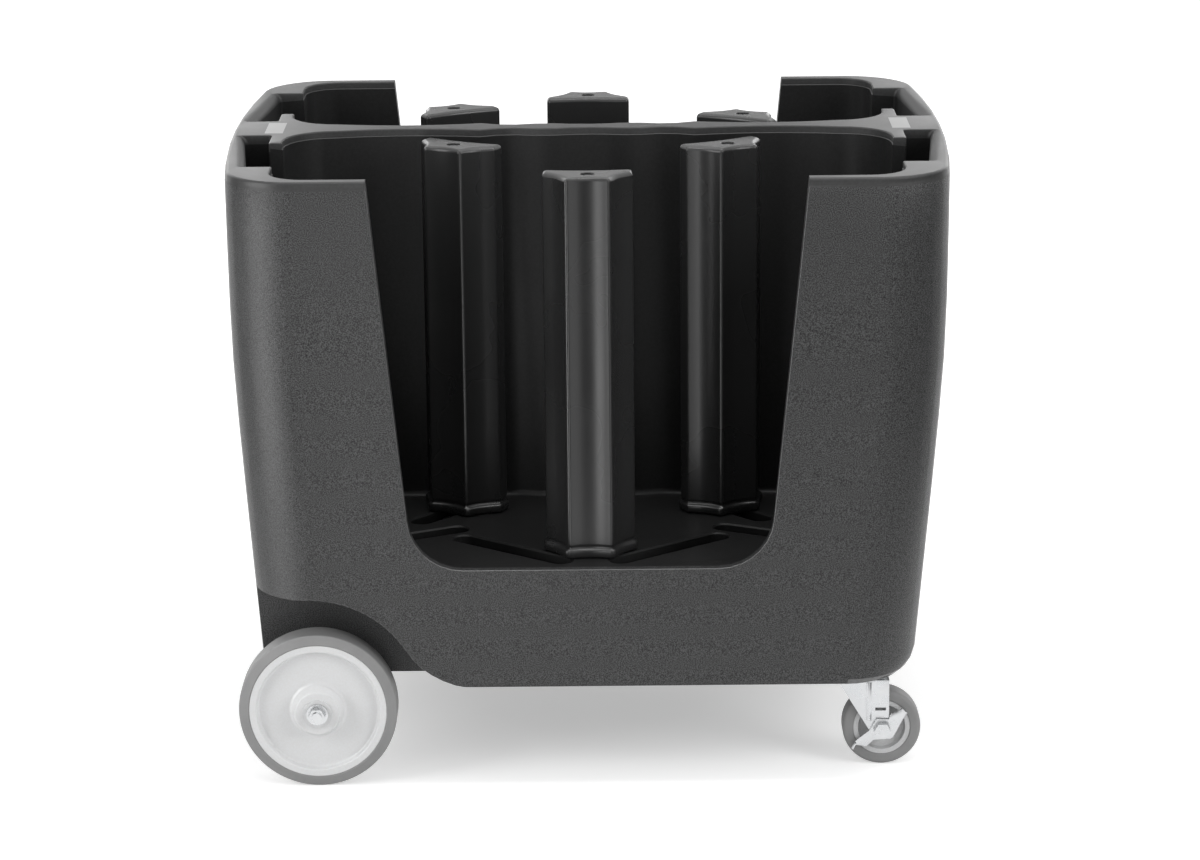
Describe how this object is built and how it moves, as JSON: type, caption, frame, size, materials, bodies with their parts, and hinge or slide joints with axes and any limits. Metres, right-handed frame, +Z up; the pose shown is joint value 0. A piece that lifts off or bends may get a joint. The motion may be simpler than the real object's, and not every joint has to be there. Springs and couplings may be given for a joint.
{
  "type": "plate dispenser cart",
  "caption": "Moulded plate dispenser cart with a divider, open stacking bays, side cutouts, sliding tower posts, a fixed rear wheel axle and braked swivel casters.",
  "frame": {"origin": "on the ground, under the middle of the overall length and width", "axes": "+X along the length towards the swivel casters, +Y across the width towards the back bay, +Z up"},
  "size_m": [0.9369, 0.7586, 0.794],
  "materials": {
    "tub": "stippled moulded plastic, glossy inside",
    "tower": "smooth satin black",
    "tyre": "moulded grey rubber",
    "caster_tread": "moulded dark grey rubber",
    "hub": "light grey moulded plastic",
    "caster_hub": "grey moulded plastic",
    "bush": "plain bearing plastic",
    "zinc": "bright zinc plated"
  },
  "bodies": {
    "cart": {"body_tub": "tub", "rear_axle": "zinc", "axle_bracket_front": "zinc", "axle_bracket_back": "zinc", "bracket_bolts": "zinc", "rear_washer_front": "zinc", "rear_nut_front": "zinc", "rear_washer_back": "zinc", "rear_nut_back": "zinc", "caster_plate_front": "zinc", "caster_bolts_front": "zinc", "caster_kingpin_front": "zinc", "caster_plate_back": "zinc", "caster_bolts_back": "zinc", "caster_kingpin_back": "zinc"},
    "tower_front": {"tower_front": "tower", "tie_bolt_front": "zinc", "clamp_nut_front": "zinc"},
    "tower_left": {"tower_left": "tower", "tie_bolt_left": "zinc", "clamp_nut_left": "zinc"},
    "tower_right": {"tower_right": "tower", "tie_bolt_right": "zinc", "clamp_nut_right": "zinc"},
    "tower_back": {"tower_back": "tower", "tie_bolt_back": "zinc", "clamp_nut_back": "zinc"},
    "tower_back_left": {"tower_back_left": "tower", "tie_bolt_back_left": "zinc", "clamp_nut_back_left": "zinc"},
    "tower_back_right": {"tower_back_right": "tower", "tie_bolt_back_right": "zinc", "clamp_nut_back_right": "zinc"},
    "rear_wheel_front": {"rear_hub_front": "hub", "rear_tyre_front": "tyre", "rear_bush_front": "bush"},
    "caster_swivel_front": {"caster_fork_front": "zinc", "caster_axle_front": "zinc", "caster_nut_front": "zinc", "caster_sleeve_front": "zinc"},
    "caster_wheel_front": {"caster_hub_front": "caster_hub", "caster_tyre_front": "caster_tread"},
    "caster_brake_front": {"caster_brake_front": "zinc"},
    "rear_wheel_back": {"rear_hub_back": "hub", "rear_tyre_back": "tyre", "rear_bush_back": "bush"},
    "caster_swivel_back": {"caster_fork_back": "zinc", "caster_axle_back": "zinc", "caster_nut_back": "zinc", "caster_sleeve_back": "zinc"},
    "caster_wheel_back": {"caster_hub_back": "caster_hub", "caster_tyre_back": "caster_tread"},
    "caster_brake_back": {"caster_brake_back": "zinc"}
  },
  "joints": [
    {"name": "tower_front_slide", "type": "slide", "parent": "cart", "child": "tower_front", "axis": [0, -1, 0], "range_m": [-0.14287, 0.008]},
    {"name": "tower_left_slide", "type": "slide", "parent": "cart", "child": "tower_left", "axis": [-0.678, -0.7351, 0], "range_m": [-0.00151, 0.07376]},
    {"name": "tower_right_slide", "type": "slide", "parent": "cart", "child": "tower_right", "axis": [0.678, -0.7351, 0], "range_m": [-0.0128, 0.06247]},
    {"name": "tower_back_slide", "type": "slide", "parent": "cart", "child": "tower_back", "axis": [0, 1, 0], "range_m": [-0.13095, 0.01991]},
    {"name": "tower_back_left_slide", "type": "slide", "parent": "cart", "child": "tower_back_left", "axis": [-0.8953, 0.4456, 0], "range_m": [-0.00891, 0.11836]},
    {"name": "tower_back_right_slide", "type": "slide", "parent": "cart", "child": "tower_back_right", "axis": [0.678, 0.7351, 0], "range_m": [-0.05344, 0.02183]},
    {"name": "rear_wheel_front_spin", "type": "hinge", "parent": "cart", "child": "rear_wheel_front", "pos_m": [-0.352, -0.3335, 0.1016], "axis": [0, 1, 0], "continuous": true},
    {"name": "caster_front_swivel", "type": "hinge", "parent": "cart", "child": "caster_swivel_front", "pos_m": [0.344, -0.2755, 0.1], "axis": [0, 0, 1], "continuous": true},
    {"name": "caster_front_spin", "type": "hinge", "parent": "caster_swivel_front", "child": "caster_wheel_front", "pos_m": [0.376, -0.2755, 0.0508], "axis": [0, 1, 0], "continuous": true},
    {"name": "caster_front_brake", "type": "hinge", "parent": "caster_swivel_front", "child": "caster_brake_front", "pos_m": [0.376, -0.2755, 0.0508], "axis": [0, 1, 0], "range_deg": [0, 26]},
    {"name": "rear_wheel_back_spin", "type": "hinge", "parent": "cart", "child": "rear_wheel_back", "pos_m": [-0.352, 0.3335, 0.1016], "axis": [0, 1, 0], "continuous": true},
    {"name": "caster_back_swivel", "type": "hinge", "parent": "cart", "child": "caster_swivel_back", "pos_m": [0.344, 0.2755, 0.1], "axis": [0, 0, 1], "continuous": true},
    {"name": "caster_back_spin", "type": "hinge", "parent": "caster_swivel_back", "child": "caster_wheel_back", "pos_m": [0.376, 0.2755, 0.0508], "axis": [0, 1, 0], "continuous": true},
    {"name": "caster_back_brake", "type": "hinge", "parent": "caster_swivel_back", "child": "caster_brake_back", "pos_m": [0.376, 0.2755, 0.0508], "axis": [0, 1, 0], "range_deg": [0, 26]}
  ]
}
